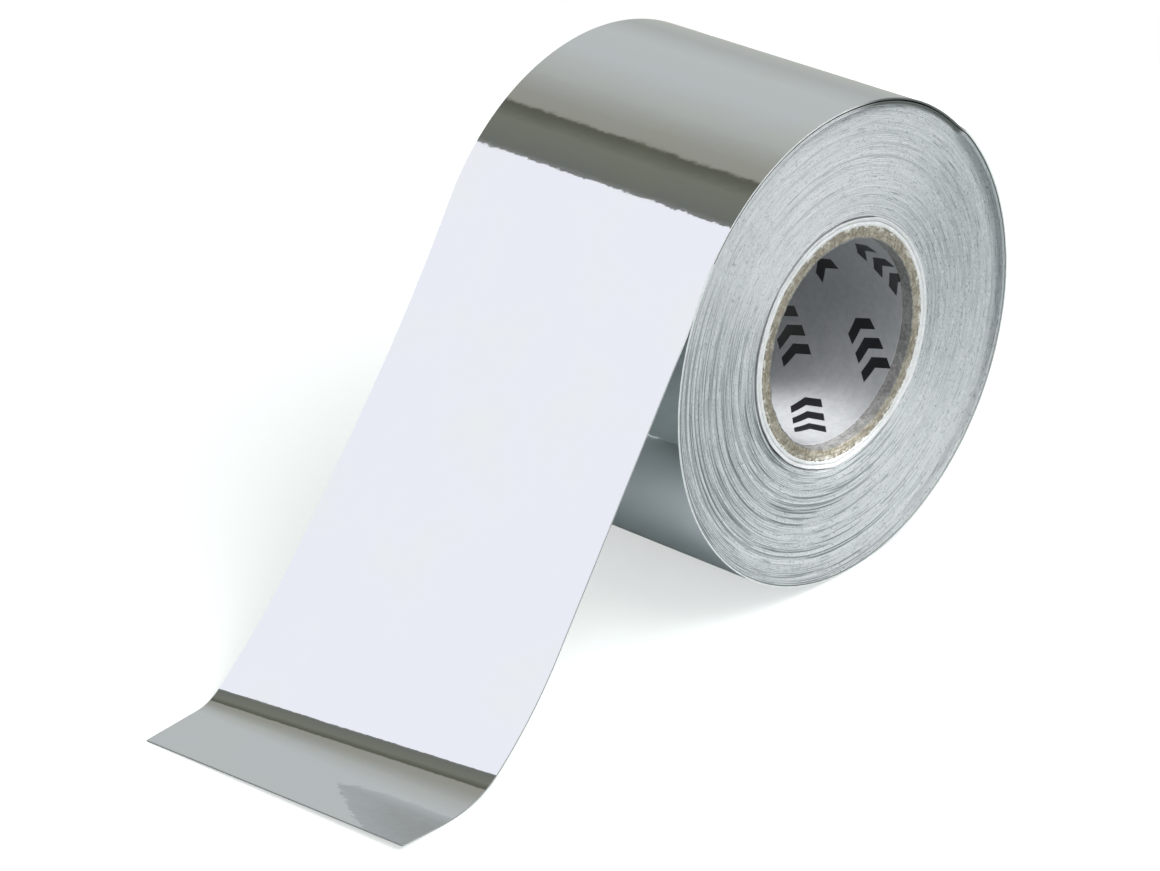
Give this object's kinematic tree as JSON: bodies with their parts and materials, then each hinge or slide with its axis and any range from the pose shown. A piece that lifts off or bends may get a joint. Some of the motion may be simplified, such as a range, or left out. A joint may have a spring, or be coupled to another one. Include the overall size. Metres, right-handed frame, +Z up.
{
  "type": "roll of chrome trim tape",
  "caption": "Roll of mirror-chrome adhesive trim tape on a paper core, its tail unrolled and lying flat on the table.",
  "frame": {"origin": "on the core's axis, at the middle of the tape's width", "axes": "+Y along the core's axis to the far end, +Z up from the table that the roll and the tail's end lie on, the tail leaves towards -X"},
  "size_m": [0.1086, 0.04, 0.0598],
  "materials": {
    "chrome_film": "mirror film over an adhesive back, light grey at its cut edges",
    "white_paper": "smooth white paper ply",
    "kraft_board": "cut kraft board with loose fibres",
    "liner_paper": "glossy grey-white printed paper ply"
  },
  "bodies": {
    "root": {"tape": "chrome_film", "core_cover": "white_paper", "core_board": "kraft_board", "core_liner": "liner_paper"}
  },
  "joints": []
}
